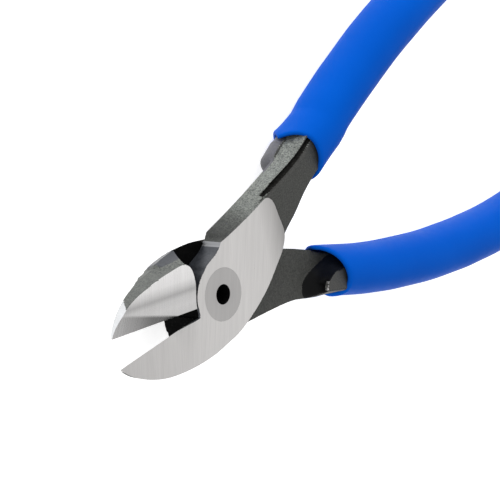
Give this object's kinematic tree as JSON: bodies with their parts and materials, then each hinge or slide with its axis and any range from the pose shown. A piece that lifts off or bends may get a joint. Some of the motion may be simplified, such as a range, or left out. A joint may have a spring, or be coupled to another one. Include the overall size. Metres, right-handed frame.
{
  "type": "diagonal cutting pliers",
  "caption": "Lap-joint diagonal cutting pliers: flush-ground pointed jaws, forged steel levers on a riveted pivot, dipped blue vinyl handle sleeves.",
  "frame": {"origin": "on the pivot axis, in the plane of the ground back face of the head", "axes": "+Z along the pivot axis out of the front ground face, +X from the pivot to the jaw tips, +Y towards the front lever's jaw"},
  "size_m": [0.1798, 0.0857, 0.0136],
  "materials": {
    "front_lever_steel": "fine-ground head face, sand-blasted dark forged neck",
    "rear_lever_steel": "polished jaw face and bevel, sand-blasted dark forged flanks and neck",
    "rivet_steel": "ground flush with the head, a shade darker",
    "front_grip_vinyl": "smooth satin dipped vinyl",
    "rear_grip_vinyl": "smooth satin dipped vinyl"
  },
  "bodies": {
    "front_half": {"front_lever": "front_lever_steel", "pivot_rivet": "rivet_steel", "front_grip": "front_grip_vinyl"},
    "rear_half": {"rear_lever": "rear_lever_steel", "rear_grip": "rear_grip_vinyl"}
  },
  "joints": [
    {"name": "jaw_pivot", "type": "hinge", "parent": "front_half", "child": "rear_half", "pos_m": [0, 0, 0.005], "axis": [0, 0, -1], "range_deg": [-11.5, 22]}
  ]
}
